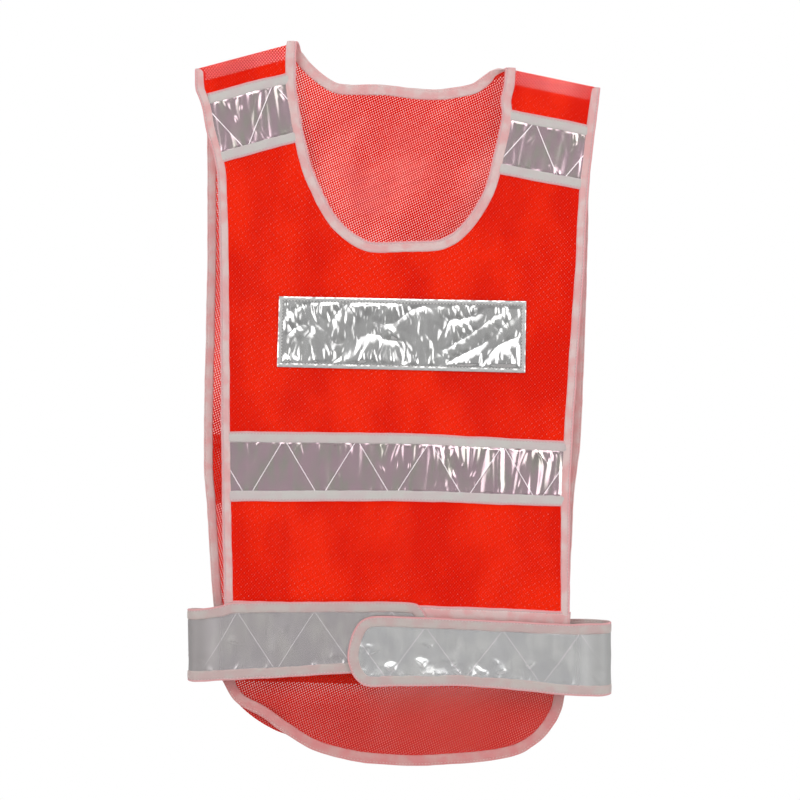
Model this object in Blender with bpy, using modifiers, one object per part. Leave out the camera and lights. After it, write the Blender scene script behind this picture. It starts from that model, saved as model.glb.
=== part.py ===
"""High visibility tabard vest with a reflective belt, hanging upright: front faces -Y, +Z is up.

The origin is midway between the two shoulders. The front and back panels are single layers of
mesh, bound at every edge, and joined only over the shoulders. The belt goes round both panels and
closes at the front. Sizes are in millimetres until the scene is built.
"""

import math

import bmesh
import bpy
from mathutils import Vector

MM = 0.001

# Cloth and tape
MESH_T = 0.8
BINDING_T = 1.6
FILM_T = 0.6
BINDING_W = 9.5
GAP = 0.3

# Depth of each layer's middle, along Y
PANEL_Y = 6.5
SKIN_FILM_Y = PANEL_Y + MESH_T / 2 + GAP + FILM_T / 2
SKIN_BINDING_T = 1.2
SKIN_BINDING_Y = PANEL_Y + MESH_T / 2 + GAP + SKIN_BINDING_T / 2
BELT_Y = PANEL_Y + BINDING_T / 2 + GAP + BINDING_T / 2
BELT_OVER_Y = BELT_Y + 3.7

# Shoulder folds: each goes from one end to the other as (x, z) along its top
LEFT_FOLD = ((-188, -11), (-96, 13))
RIGHT_FOLD = ((97, -11), (185, -30))
FRONT_DROP = 22
BACK_DROP = 12

# Belt
BELT_H = 66.5
BELT_FILM_T = 0.8
BELT_LEFT_X = -188
BELT_LEFT_Z = -547.5
BELT_LEFT_SLOPE = 0.03
BELT_LEFT_TIP = 26
BELT_RIGHT_X = 184
BELT_RIGHT_Z = -558
BELT_RIGHT_SLOPE = -0.02
BELT_RIGHT_TIP = -48
BELT_TIP_RADIUS = 24
PAD_T = 1.0
PAD_X = (-34, 12)
PAD_H = 38
TACK_SIZE = (3, 0.6, 44)
TACK_X = 40

# Reflective bands: two points of each one's upper edge, and its height
FRONT_WAIST = ((-166, -350), (154, -358))
BACK_WAIST = ((-180, -352), (165, -360))
WAIST_H = 64
LEFT_BAND = ((-177, -35), (-105, -17))
LEFT_BAND_H = 66
RIGHT_BAND = ((104, -52), (176, -65))
RIGHT_BAND_H = 61
CHEST_CORNERS = ((-112, -224), (117, -229), (116, -295), (-114, -289))

# Panel edges as (x, z), each read from the shoulder or the left; the strap ends are added to them
FRONT_LEFT_SIDE = ((-180, -68), (-171, -96), (-167, -125), (-166, -199), (-166, -348),
                   (-163, -506))
FRONT_NECK = ((-95, -29), (-90, -69), (-77, -114), (-52, -156), (-26, -172), (18, -172),
              (48, -164), (70, -140), (84, -100), (95, -55))
FRONT_RIGHT_SIDE = ((180, -80), (175, -118), (170, -218), (160, -358), (157, -519))
FRONT_HEM = ((-163, -506), (22, -507), (157, -519))
BACK_LEFT_SIDE = ((-182, -60), (-180, -101), (-180, -199), (-183, -357),
                  (-175, -497), (-167, -580))
BACK_NECK = ((-84, -11), (-63, -23), (-40, -26), (-5, -28), (38, -30), (68, -27))
BACK_RIGHT_SIDE = ((179, -75), (175, -130), (175, -200), (169, -348), (162, -418),
                   (158, -506), (154, -593))
BACK_HEM = ((-167, -580), (-156, -602), (-105, -635), (-36, -657), (15, -661), (93, -654),
            (135, -634), (151, -612), (154, -593))

# Hinge of the front panel: a point on the line inside both shoulder folds, nearer to the front
HINGE = (0, -3, -17)

# Straight steps that stand for one curved stretch
NECK_STEPS = 4
SIDE_STEPS = 3
ARC_STEPS = 8
SHOULDER_STEPS = 8
BELT_FOLD_STEPS = 12
BAND_STEPS = 4

COLOURS = {
    "mesh": ((0.80, 0.03, 0.01), 0.75, 0.0),
    "binding": ((0.72, 0.66, 0.66), 0.85, 0.0),
    "film": ((0.42, 0.40, 0.42), 0.25, 0.3),
    "belt_film": ((0.50, 0.50, 0.50), 0.3, 0.3),
    "pad": ((0.75, 0.75, 0.73), 0.9, 0.0),
    "thread": ((0.8, 0.78, 0.76), 0.8, 0.0),
}


def clear_scene():
    for obj in list(bpy.data.objects):
        bpy.data.objects.remove(obj, do_unlink=True)


def new_collection(name):
    collection = bpy.data.collections.new(name)
    bpy.context.scene.collection.children.link(collection)
    return collection


def material(name):
    """One Principled material for each kind of cloth, tape or film."""
    found = bpy.data.materials.get(name)
    if found:
        return found
    colour, roughness, metallic = COLOURS[name]
    made = bpy.data.materials.new(name)
    made.use_nodes = True
    shader = made.node_tree.nodes["Principled BSDF"]
    shader.inputs["Base Color"].default_value = (*colour, 1.0)
    shader.inputs["Roughness"].default_value = roughness
    shader.inputs["Metallic"].default_value = metallic
    return made


def smooth(points, steps=NECK_STEPS):
    """A Catmull-Rom curve through the points, with the ends kept."""
    points = [Vector(p) for p in points]
    padded = [2 * points[0] - points[1], *points, 2 * points[-1] - points[-2]]
    curve = []
    for i in range(1, len(padded) - 2):
        a, b, c, d = padded[i - 1:i + 3]
        for step in range(steps):
            t = step / steps
            curve.append(0.5 * ((2 * b) + (c - a) * t + (2 * a - 5 * b + 4 * c - d) * t * t
                                + (3 * b - a - 3 * c + d) * t ** 3))
    curve.append(points[-1])
    return curve


def arc(centre, radius, start, end):
    """Points on a circle from one angle to another, in degrees."""
    angles = [math.radians(start + (end - start) * i / ARC_STEPS) for i in range(ARC_STEPS + 1)]
    return [Vector((centre[0] + radius * math.cos(a), centre[1] + radius * math.sin(a)))
            for a in angles]


def left_of(direction):
    return Vector((-direction.y, direction.x))


def inset(points, distances):
    """Moves each edge of a closed outline inwards by its own distance and mitres the corners.

    The outline runs anticlockwise, and distances has one number for the edge after each point.
    """
    moved = []
    for i, point in enumerate(points):
        before = (point - points[i - 1]).normalized()
        after = (points[(i + 1) % len(points)] - point).normalized()
        near, far = distances[i - 1], distances[i]
        cross = before.x * after.y - before.y * after.x
        if abs(cross) < 0.05:
            moved.append(point + left_of((before + after).normalized()) * (near + far) / 2)
            continue
        start = point + left_of(before) * near
        across = point + left_of(after) * far - start
        reach = (across.x * after.y - across.y * after.x) / cross
        moved.append(start + before * reach)
    return moved


def flat_piece(name, outline, y, thickness, kind, collection, parent=None):
    """An upright sheet: a filled 2D outline in X and Z, with its middle at the given depth."""
    curve = bpy.data.curves.new(name, "CURVE")
    curve.dimensions = "2D"
    curve.fill_mode = "BOTH"
    curve.extrude = thickness / 2 * MM
    spline = curve.splines.new("POLY")
    spline.points.add(len(outline) - 1)
    for place, point in zip(spline.points, outline):
        place.co = (point[0] * MM, point[1] * MM, 0, 1)
    spline.use_cyclic_u = True
    obj = bpy.data.objects.new(name, curve)
    obj.rotation_euler = (math.pi / 2, 0, 0)
    obj.location = (0, y * MM, 0)
    finish(obj, kind, collection, parent)
    return obj


def finish(obj, kind, collection, parent):
    obj.data.materials.append(material(kind))
    collection.objects.link(obj)
    if parent is not None:
        obj.parent = parent
        obj.matrix_parent_inverse = parent.matrix_world.inverted()


def joint_marker(name, x, y, z, collection):
    """An empty on a joint's axis, which carries the pieces that move with it."""
    empty = bpy.data.objects.new(name, None)
    empty.empty_display_size = 0.03
    empty.location = (x * MM, y * MM, z * MM)
    collection.objects.link(empty)
    bpy.context.view_layer.update()
    return empty


def pull_ends(outer, inner, trim):
    """Shortens a strip between two paths a little at both ends, so that it clears its neighbours."""
    for path in (outer, inner):
        first = (path[1] - path[0]).normalized()
        last = (path[-2] - path[-1]).normalized()
        path[0] = path[0] + first * trim
        path[-1] = path[-1] + last * trim
    return [*outer, *reversed(inner)]


def bound_panel(panel, edges, y, collection, parent):
    """A mesh panel with a binding along each named edge.

    edges is a list of (binding name or None, points) that run anticlockwise and share corners. An
    edge with no name is a raw end, which meets the cloth over the shoulder.
    """
    outline, owners = [], []
    for name, points in edges:
        outline += points[:-1]
        owners += [name] * (len(points) - 1)
    binding = inset(outline, [BINDING_W if owner else 0 for owner in owners])
    cloth = inset(outline, [BINDING_W + GAP if owner else 0 for owner in owners])
    flat_piece(panel, cloth, y, MESH_T, "mesh", collection, parent)
    start = 0
    for name, points in edges:
        count = len(points)
        if name:
            turns = [(start + i) % len(outline) for i in range(count)]
            strip = pull_ends([outline[i] for i in turns], [binding[i] for i in turns], GAP * 0.7)
            flat_piece(name, strip, y, BINDING_T, "binding", collection, parent)
        start += count - 1
    return cloth


def line_at(ends, x):
    (x0, z0), (x1, z1) = ends
    return z0 + (z1 - z0) * (x - x0) / (x1 - x0)


def folded_strip(name, ends, x0, x1, radius, thickness, kind, collection):
    """Cloth that goes over a shoulder: up the front, round the fold and down the back."""
    profile = [Vector((0, -radius, thickness / 2 - FRONT_DROP))]
    for i in range(SHOULDER_STEPS + 1):
        angle = math.pi - math.pi * i / SHOULDER_STEPS
        profile.append(Vector((0, radius * math.cos(angle), radius * math.sin(angle) - radius)))
    profile.append(Vector((0, radius, thickness / 2 - BACK_DROP)))
    slide = Vector((x1 - x0, 0, line_at(ends, x1) - line_at(ends, x0)))
    lift = Vector((x0, 0, line_at(ends, x0) - thickness / 2))
    mesh = bpy.data.meshes.new(name)
    shape = bmesh.new()
    rim = [shape.verts.new((point + lift) * MM) for point in profile]
    edges = [shape.edges.new(pair) for pair in zip(rim, rim[1:])]
    swept = bmesh.ops.extrude_edge_only(shape, edges=edges)
    moved = [item for item in swept["geom"] if isinstance(item, bmesh.types.BMVert)]
    bmesh.ops.translate(shape, vec=slide * MM, verts=moved)
    bmesh.ops.recalc_face_normals(shape, faces=shape.faces)
    shape.to_mesh(mesh)
    shape.free()
    obj = bpy.data.objects.new(name, mesh)
    thicken(obj, thickness)
    finish(obj, kind, collection, None)
    return obj


def thicken(obj, thickness):
    solid = obj.modifiers.new("thickness", "SOLIDIFY")
    solid.thickness = thickness * MM
    solid.offset = 0
    solid.use_even_offset = True


def shoulder(side, ends, outer_first, collection):
    """Mesh over one shoulder with its two edge tapes."""
    (x0, _), (x1, _) = ends
    yoke = (x0 + BINDING_W + GAP, x1 - BINDING_W - GAP)
    folded_strip(f"{side}_shoulder_yoke", ends, *yoke, PANEL_Y, MESH_T, "mesh", collection)
    names = (f"{side}_shoulder_arm_binding", f"{side}_shoulder_neck_binding")
    if not outer_first:
        names = names[::-1]
    folded_strip(names[0], ends, x0, x0 + BINDING_W, PANEL_Y, BINDING_T, "binding", collection)
    folded_strip(names[1], ends, x1 - BINDING_W, x1, PANEL_Y, BINDING_T, "binding", collection)


def crossings(outline, start, along):
    """Distances from start, along a line, at which the line crosses a closed outline."""
    found = []
    for i, b in enumerate(outline):
        a = outline[i - 1]
        side = b - a
        cross = along.x * side.y - along.y * side.x
        if abs(cross) < 1e-6:
            continue
        gap = a - start
        share = (gap.x * along.y - gap.y * along.x) / cross
        if 0 <= share < 1:
            found.append((gap.x * side.y - gap.y * side.x) / cross)
    return sorted(found)


def band(name, cloth, top, height, y, strap, collection, parent):
    """A reflective film across a panel, with a binding above and below it.

    top gives two points of the band's upper edge. The band runs from one side of the cloth to the
    other: strap is None for the panel's whole width, 0 for the left strap and -2 for the right.
    """
    start = Vector(top[0])
    along = (Vector(top[1]) - start).normalized()
    down = -left_of(along)
    ends = (0, -1) if strap is None else (strap, strap + 1)

    def strip(upper, lower):
        left, right = [], []
        for row in range(BAND_STEPS + 1):
            level = start + down * (upper + (lower - upper) * row / BAND_STEPS)
            met = crossings(cloth, level, along)
            left.append(level + along * (met[ends[0]] + GAP))
            right.append(level + along * (met[ends[1]] - GAP))
        return [*left, *reversed(right)]

    side = 1 if y > 0 else -1
    film = strip(BINDING_W + GAP, height - BINDING_W - GAP)
    flat_piece(f"{name}_film", film, side * SKIN_FILM_Y, FILM_T, "film", collection, parent)
    for place, outline in (("upper", strip(0, BINDING_W)),
                           ("lower", strip(height - BINDING_W, height))):
        flat_piece(f"{name}_{place}_binding", outline, side * SKIN_BINDING_Y, SKIN_BINDING_T,
                   "binding", collection, parent)


def cut_line(ends, drop):
    """Where a strap ends below the shoulder fold."""
    return [Vector((x, z - drop - GAP)) for x, z in ends]


def front_body(collection):
    hinge = joint_marker("front_hinge", *HINGE, collection)
    y = -PANEL_Y
    left_top, right_top = cut_line(LEFT_FOLD, FRONT_DROP), cut_line(RIGHT_FOLD, FRONT_DROP)
    left_side = smooth([left_top[0], *FRONT_LEFT_SIDE], SIDE_STEPS)
    right_side = smooth([right_top[1], *FRONT_RIGHT_SIDE], SIDE_STEPS)
    neck = smooth([left_top[1], *FRONT_NECK, right_top[0]])
    edges = [
        ("front_left_side_binding", left_side),
        ("front_hem_binding", [Vector(p) for p in FRONT_HEM]),
        ("front_right_side_binding", right_side[::-1]),
        (None, [right_top[1], right_top[0]]),
        ("front_neck_binding", neck[::-1]),
        (None, [left_top[1], left_top[0]]),
    ]
    cloth = bound_panel("front_panel", edges, y, collection, hinge)
    band("front_waist", cloth, FRONT_WAIST, WAIST_H, y, None, collection, hinge)
    band("left_shoulder_band", cloth, LEFT_BAND, LEFT_BAND_H, y, 0, collection, hinge)
    band("right_shoulder_band", cloth, RIGHT_BAND, RIGHT_BAND_H, y, -2, collection, hinge)
    chest = [Vector(p) for p in reversed(CHEST_CORNERS)]
    flat_piece("chest_patch", chest, -SKIN_FILM_Y, FILM_T, "film", collection, hinge)


def back_body(collection):
    left_top, right_top = cut_line(LEFT_FOLD, BACK_DROP), cut_line(RIGHT_FOLD, BACK_DROP)
    left_side = smooth([left_top[0], *BACK_LEFT_SIDE], SIDE_STEPS)
    right_side = smooth([right_top[1], *BACK_RIGHT_SIDE], SIDE_STEPS)
    neck = smooth([left_top[1], *BACK_NECK, right_top[0]])
    edges = [
        ("back_left_side_binding", left_side),
        ("back_hem_binding", smooth(BACK_HEM)),
        ("back_right_side_binding", right_side[::-1]),
        (None, [right_top[1], right_top[0]]),
        ("back_neck_binding", neck[::-1]),
        (None, [left_top[1], left_top[0]]),
    ]
    cloth = bound_panel("back_panel", edges, PANEL_Y, collection, None)
    band("back_waist", cloth, BACK_WAIST, WAIST_H, PANEL_Y, None, collection, None)
    shoulder("left", LEFT_FOLD, True, collection)
    shoulder("right", RIGHT_FOLD, False, collection)


def belt_strips(upper, lower):
    """The belt's film and two bindings: heights from its middle, thickness and material."""
    return {
        "film": (lower + BINDING_W + GAP, upper - BINDING_W - GAP, BELT_FILM_T, "belt_film"),
        "upper_binding": (upper - BINDING_W, upper, BINDING_T, "binding"),
        "lower_binding": (lower, lower + BINDING_W, BINDING_T, "binding"),
    }


def belt_back(collection):
    """The belt's run behind the back panel, level with both folds, and its anchor stitching."""
    left, right = BELT_LEFT_X + GAP, BELT_RIGHT_X - GAP
    for name, (low, high, thickness, kind) in belt_strips(BELT_H / 2, -BELT_H / 2).items():
        outline = [Vector((left, BELT_LEFT_Z + low)), Vector((right, BELT_RIGHT_Z + low)),
                   Vector((right, BELT_RIGHT_Z + high)), Vector((left, BELT_LEFT_Z + high))]
        flat_piece(f"belt_back_{name}", outline, BELT_Y, thickness, kind, collection)
    middle = (BELT_LEFT_Z + BELT_RIGHT_Z) / 2
    width, depth, height = TACK_SIZE
    for name, x in (("left", -TACK_X), ("right", TACK_X)):
        mesh = bpy.data.meshes.new(f"belt_anchor_tack_{name}")
        shape = bmesh.new()
        bmesh.ops.create_cube(shape, size=1)
        bmesh.ops.scale(shape, vec=(width * MM, depth * MM, height * MM), verts=shape.verts)
        shape.to_mesh(mesh)
        shape.free()
        tack = bpy.data.objects.new(mesh.name, mesh)
        face = BELT_Y + BELT_FILM_T / 2 + GAP
        tack.location = (x * MM, (face + depth / 2) * MM, middle * MM)
        finish(tack, "thread", collection, None)


def belt_fold(side, x, z, front_y, collection):
    """The belt where it turns round one side of the vest, from the back run to the front run."""
    outwards = -1 if side == "left" else 1
    centre_y = (BELT_Y + front_y) / 2
    radius = (BELT_Y - front_y) / 2
    for name, (low, high, thickness, kind) in belt_strips(BELT_H / 2, -BELT_H / 2).items():
        mesh = bpy.data.meshes.new(f"belt_{side}_fold_{name}")
        shape = bmesh.new()
        rim = []
        for i in range(BELT_FOLD_STEPS + 1):
            angle = math.pi / 2 - math.pi * i / BELT_FOLD_STEPS
            place = Vector((x + outwards * radius * math.cos(angle),
                            centre_y + radius * math.sin(angle), z + low))
            rim.append(shape.verts.new(place * MM))
        edges = [shape.edges.new(pair) for pair in zip(rim, rim[1:])]
        swept = bmesh.ops.extrude_edge_only(shape, edges=edges)
        moved = [item for item in swept["geom"] if isinstance(item, bmesh.types.BMVert)]
        bmesh.ops.translate(shape, vec=(0, 0, (high - low) * MM), verts=moved)
        bmesh.ops.recalc_face_normals(shape, faces=shape.faces)
        shape.to_mesh(mesh)
        shape.free()
        obj = bpy.data.objects.new(mesh.name, mesh)
        thicken(obj, thickness)
        finish(obj, kind, collection, None)


def run_outline(x_fold, x_tip, z_fold, slope, margin):
    """Outline of one front run of the belt, with a rounded tip, drawn in from its edge."""
    inwards = 1 if x_tip > x_fold else -1
    half = BELT_H / 2 - margin
    radius = BELT_TIP_RADIUS - margin
    centre_x = x_tip - inwards * BELT_TIP_RADIUS
    turn = 90 - 90 * inwards
    upper = arc((centre_x, half - radius), radius, 90, turn)
    lower = arc((centre_x, radius - half), radius, turn, turn - 90 * inwards)
    end = x_fold + inwards * GAP
    path = [Vector((end, half)), *upper, *lower, Vector((end, -half))]
    return [Vector((p.x, p.y + z_fold + slope * (p.x - x_fold))) for p in path]


def belt_run(side, x, z, slope, tip, front_y, hinge_y, collection):
    """One front run of the belt: film, binding round its edge, and half of the closure."""
    hinge = joint_marker(f"belt_{side}_hinge", x, hinge_y, z, collection)
    film = run_outline(x, tip, z, slope, BINDING_W + GAP)
    flat_piece(f"belt_{side}_film", film, front_y, BELT_FILM_T, "belt_film", collection, hinge)
    outer = run_outline(x, tip, z, slope, 0)
    inner = run_outline(x, tip, z, slope, BINDING_W)
    flat_piece(f"belt_{side}_binding", [*outer, *reversed(inner)], front_y, BINDING_T, "binding",
               collection, hinge)
    return hinge


def closure_pad(name, y, z, slope, x_fold, parent, collection):
    left, right = PAD_X
    outline = []
    for x, height in ((left, -PAD_H / 2), (right, -PAD_H / 2), (right, PAD_H / 2),
                      (left, PAD_H / 2)):
        outline.append(Vector((x, z + slope * (x - x_fold) + height)))
    flat_piece(name, outline, y, PAD_T, "pad", collection, parent)


def belt(collection):
    belt_back(collection)
    belt_fold("left", BELT_LEFT_X, BELT_LEFT_Z, -BELT_Y, collection)
    belt_fold("right", BELT_RIGHT_X, BELT_RIGHT_Z, -BELT_OVER_Y, collection)
    under = belt_run("left", BELT_LEFT_X, BELT_LEFT_Z, BELT_LEFT_SLOPE, BELT_LEFT_TIP, -BELT_Y, 0,
                     collection)
    over_hinge_y = (BELT_Y - BELT_OVER_Y) / 2
    over = belt_run("right", BELT_RIGHT_X, BELT_RIGHT_Z, BELT_RIGHT_SLOPE, BELT_RIGHT_TIP,
                    -BELT_OVER_Y, over_hinge_y, collection)
    reach = BELT_FILM_T / 2 + GAP + PAD_T / 2
    closure_pad("belt_loop_pad", -BELT_Y - reach, BELT_LEFT_Z, BELT_LEFT_SLOPE, BELT_LEFT_X,
                under, collection)
    closure_pad("belt_hook_pad", -BELT_OVER_Y + reach, BELT_RIGHT_Z, BELT_RIGHT_SLOPE,
                BELT_RIGHT_X, over, collection)


def main():
    clear_scene()
    collection = new_collection("high_visibility_vest")
    back_body(collection)
    front_body(collection)
    belt(collection)


main()
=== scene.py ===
"""Looks of the high visibility vest: knitted mesh, edge tapes, vinyl films and belt, on the CAD.

Lengths here are in millimetres in the CAD's own frame and become metres when a mesh is made. The
vest hangs upright and its front faces -Y. A sheet's own flat coordinates, u along and v across,
are its UV map in metres, and every weave, weld and crease is laid out on them.
"""

import math
import random

import bpy
import numpy as np
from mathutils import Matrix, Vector, geometry, noise


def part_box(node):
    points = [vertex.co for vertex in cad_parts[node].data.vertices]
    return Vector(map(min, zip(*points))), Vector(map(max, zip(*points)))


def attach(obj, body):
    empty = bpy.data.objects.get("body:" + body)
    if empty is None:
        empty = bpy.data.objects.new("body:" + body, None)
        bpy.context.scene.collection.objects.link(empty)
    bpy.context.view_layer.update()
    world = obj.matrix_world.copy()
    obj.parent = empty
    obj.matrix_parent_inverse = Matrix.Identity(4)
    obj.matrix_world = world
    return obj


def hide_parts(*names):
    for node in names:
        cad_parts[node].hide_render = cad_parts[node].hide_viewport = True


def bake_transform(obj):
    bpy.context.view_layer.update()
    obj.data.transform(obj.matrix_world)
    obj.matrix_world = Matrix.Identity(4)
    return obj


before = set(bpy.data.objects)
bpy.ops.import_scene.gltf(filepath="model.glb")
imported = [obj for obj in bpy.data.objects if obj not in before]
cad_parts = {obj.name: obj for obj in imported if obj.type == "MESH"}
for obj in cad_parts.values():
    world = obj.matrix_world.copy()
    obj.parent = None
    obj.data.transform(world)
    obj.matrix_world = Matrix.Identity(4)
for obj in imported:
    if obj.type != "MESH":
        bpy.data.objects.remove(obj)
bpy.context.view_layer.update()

MM = 0.001
UV_NAME = "flat"

# Vest: half the gap between the panels, height of the rounded shoulder fold, and the edge tape
PANEL_Y = 6.5
FOLD_RISE = 14
TAPE_W = 10
SIDE_TAPE_W = 8.4
HEM_TAPE_W = 13
TAPE_HALF = 1.25
CLOTH_INSET = 2.5
CLOTH_STEP = 5

# Tops of the two shoulder folds, each from one end to the other, as (x, z)
LEFT_FOLD = ((-191, -12.5), (-95, 13))
RIGHT_FOLD = ((98, -11.5), (186.5, -30))

# Panel edges below the folds, as (x, z)
FRONT_LEFT = ((-189.5, -33), (-184, -48), (-179.5, -70), (-172, -98), (-169, -125), (-167, -199),
              (-166, -348), (-163.5, -506), (-162.5, -519))
FRONT_RIGHT = ((184, -50), (180, -80), (175.5, -118), (173, -150), (169.5, -218), (160, -358),
               (157.5, -440), (158, -529.5))
FRONT_HEM = ((-162.5, -519), (22, -523.5), (158, -529.5))
FRONT_NECK = ((-96.3, -12), (-95.8, -30), (-90, -66), (-82, -102), (-73, -124), (-62, -145),
              (-51, -158.5), (-38, -168.5), (-25, -173.3), (0, -172.8), (31, -172), (47, -166),
              (60, -154), (70, -140), (79, -122), (86, -96), (92, -70), (94.5, -55), (93.5, -42),
              (96, -30))
BACK_LEFT = ((-187.5, -32), (-182.5, -48), (-180, -75), (-180, -199), (-183, -357), (-180, -422),
             (-175, -497), (-167, -580))
BACK_RIGHT = ((184, -50), (180, -66), (176.5, -123), (174, -218), (169, -348), (162, -418),
              (158, -506), (154, -593))
BACK_HEM = ((-167, -580), (-155, -602), (-138, -618), (-118, -630), (-102, -636), (-78, -648),
            (-43, -657), (4, -661), (60, -659), (103, -653), (124, -643), (138, -631),
            (150, -611), (154, -593))
BACK_NECK = ((-92, 5), (-81, -8), (-62, -22.5), (-46, -25.7), (-15, -25.7), (10, -29), (38, -30),
             (65, -26), (75, -20), (84, -13.5), (92, -11.3))
# Where the tail's tape rolls inwards: middle and half width of the roll, and how far up it goes
ROLL = (-127, 22, 9)
ROLL_DEPTH = 4

# Bands: upper and lower edge of each, from left to right
FRONT_WAIST = (((-160, -349), (-60, -350), (20, -351.5), (154.5, -358)),
               ((-160, -414), (-60, -414), (20, -414.5), (152.5, -419)))
BACK_WAIST = (((-177.5, -352), (-60, -354), (60, -357), (164, -360)),
              ((-175.5, -416), (-60, -418), (60, -421), (157, -424)))
LEFT_BAND = (((-179, -35.5), (-140, -25), (-102, -16)), ((-168, -101), (-130, -90), (-93, -80.5)))
RIGHT_BAND = (((101, -50), (140, -58), (176, -65)), ((90, -110), (130, -118), (168, -125.5)))
BAND_TAPE_HALF = 0.6
# Height of a band's tapes over the cloth, on the front (side -1) and on the back (side 1)
BAND_TAPE_LIFT = {-1: 0.64, 1: 0.82}
# How far in a film's edge is under its tapes, and heights of the films over the cloth
FILM_MARGIN = TAPE_W - 2.5
FILM_LIFT = 0.55
FILM_LOWEST = 0.25
CHEST_LIFT = 1.5
CHEST_SEAM_LIFT = 1.65
SEAM_INSET = 3.8
CHEST = (((-112, -224), (117, -228.5)), ((-114, -289.3), (116, -294.8)))
FILM_STEP = 0.85

# Belt: depths of its three runs, and how far from the middle its two halves are sewn to the back
BELT_BACK_Y = 9.4
BELT_UNDER_Y = -9.2
BELT_OVER_Y = -13.0
BELT_SPLIT = 40
BELT_TAPE_HALF = 1.0
BELT_STEP = 1.4

CAMERA_DISTANCE = 2.6
VIEW_WIDTH = 0.744
VIEW_CENTRE_Z = -0.320
SENSOR = 36
FLOOR_Z = -0.86
FLOOR_RADIUS = 0.85


# Outlines and paths

def smooth(points, steps=8):
    """A Catmull-Rom curve through the points, with the ends kept."""
    points = np.array(points, float)
    padded = np.vstack([2 * points[0] - points[1], points, 2 * points[-1] - points[-2]])
    shares = np.arange(steps)[:, None] / steps
    curve = []
    for a, b, c, d in zip(padded, padded[1:], padded[2:], padded[3:]):
        curve.append(0.5 * (2 * b + (c - a) * shares + (2 * a - 5 * b + 4 * c - d) * shares ** 2
                            + (3 * b - a - 3 * c + d) * shares ** 3))
    return np.vstack([*curve, points[-1:]])


def distances(points):
    """Distance along a path to each of its points."""
    return np.r_[0, np.cumsum(np.linalg.norm(np.diff(points, axis=0), axis=1))]


def resample(points, count):
    """The same path with equal steps between its points."""
    along = distances(points)
    places = np.linspace(0, along[-1], count)
    return np.column_stack([np.interp(places, along, column) for column in points.T])


def even(points, step):
    points = np.array(points, float)
    return resample(points, max(int(round(distances(points)[-1] / step)), 2) + 1)


def unit(vectors):
    return vectors / np.maximum(np.linalg.norm(vectors, axis=-1, keepdims=True), 1e-9)


def inset(outline, depths):
    """Moves each edge of an anticlockwise outline inwards by its own depth, with mitred corners."""
    before = unit(outline - np.roll(outline, 1, 0))
    after = unit(np.roll(outline, -1, 0) - outline)
    moved = []
    for i, point in enumerate(outline):
        a, b = before[i], after[i]
        near, far = depths[i - 1], depths[i]
        cross = a[0] * b[1] - a[1] * b[0]
        if abs(cross) < 0.05:
            across = unit(a + b)
            moved.append(point + np.array((-across[1], across[0])) * (near + far) / 2)
            continue
        start = point + np.array((-a[1], a[0])) * near
        gap = point + np.array((-b[1], b[0])) * far - start
        moved.append(start + a * (gap[0] * b[1] - gap[1] * b[0]) / cross)
    return np.array(moved)


# The vest's surface: two upright panels joined by a rounded fold over each shoulder

def fold_top(x):
    """Height of the shoulder fold's top, carried on in a straight line past its ends."""
    (x0, z0), (x1, z1) = LEFT_FOLD if x < 0 else RIGHT_FOLD
    return z0 + (z1 - z0) * (x - x0) / (x1 - x0)


def smoothstep(low, high, value):
    t = np.clip((value - low) / (high - low), 0, 1)
    return t * t * (3 - 2 * t)


def drape(x, z, side):
    """How far the cloth stands out from its flat plane: soft hanging folds, none at the belt."""
    free = smoothstep(-62, -130, z) * smoothstep(-503, -440, z)
    if side > 0:
        free = smoothstep(-50, -120, z) * max(smoothstep(-503, -440, z), smoothstep(-590, -640, z))
    if free <= 0:
        return 0
    broad = noise.noise(Vector((x / 75, z / 230, 3.7 * side)))
    close = noise.noise(Vector((x / 28, z / 90, 9.1 * side)))
    return free * (1.3 + 1.5 * broad + 0.6 * close)


def depth(x, z, side):
    """Y of the cloth at a place on the front (side -1) or on the back (side 1)."""
    share = np.clip((fold_top(x) - z) / FOLD_RISE, 0, 1)
    return side * (PANEL_Y * math.sqrt(1 - (1 - share) ** 2) + drape(x, z, side))


def vest_normal(point):
    """Outward direction of the vest's surface at a point on it."""
    x, y, z = point
    side = 1 if y > 0 else -1
    share = (fold_top(x) - z) / FOLD_RISE
    if share < 1:
        up = min(max(1 - share, 0), 1)
        out = math.sqrt(1 - up * up)
        return unit(np.array((0, side * out / PANEL_Y, up / FOLD_RISE)))
    reach = 2
    slope_x = (drape(x + reach, z, side) - drape(x - reach, z, side)) / (2 * reach)
    slope_z = (drape(x, z + reach, side) - drape(x, z - reach, side)) / (2 * reach)
    return unit(np.array((-slope_x, side, -slope_z)))


def vest_normals(points, rounds=0):
    """The outward directions along a path, evened out a number of times."""
    normals = np.array([vest_normal(p) for p in points])
    for _ in range(rounds):
        normals[1:-1] = unit(normals[1:-1] + normals[2:] + normals[:-2])
    return normals


def on_vest(path, side):
    return np.array([(x, depth(x, z, side), z) for x, z in path])


def fold_point(x, angle):
    """A point of a shoulder fold's half circle: 0 at the front panel's level, pi at the back's."""
    return x, -PANEL_Y * math.cos(angle), fold_top(x) - FOLD_RISE * (1 - math.sin(angle))


def over_fold(front_x, top_x, back_x, steps):
    """Points over a shoulder fold, from the front panel's level to the back panel's."""
    shares = [i / steps for i in range(steps + 1)]
    places = np.interp(shares, (0, 0.5, 1), (front_x, top_x, back_x))
    return np.array([fold_point(x, math.pi * share) for x, share in zip(places, shares)])


# Meshes

# Height of a row of triangles, and the gap kept free inside an outline, as shares of the step
TRIANGLE_ROW = 0.87
RIM_GAP = 0.45


def add_object(name, data):
    obj = bpy.data.objects.new(name, data)
    bpy.context.scene.collection.objects.link(obj)
    return obj


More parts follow.
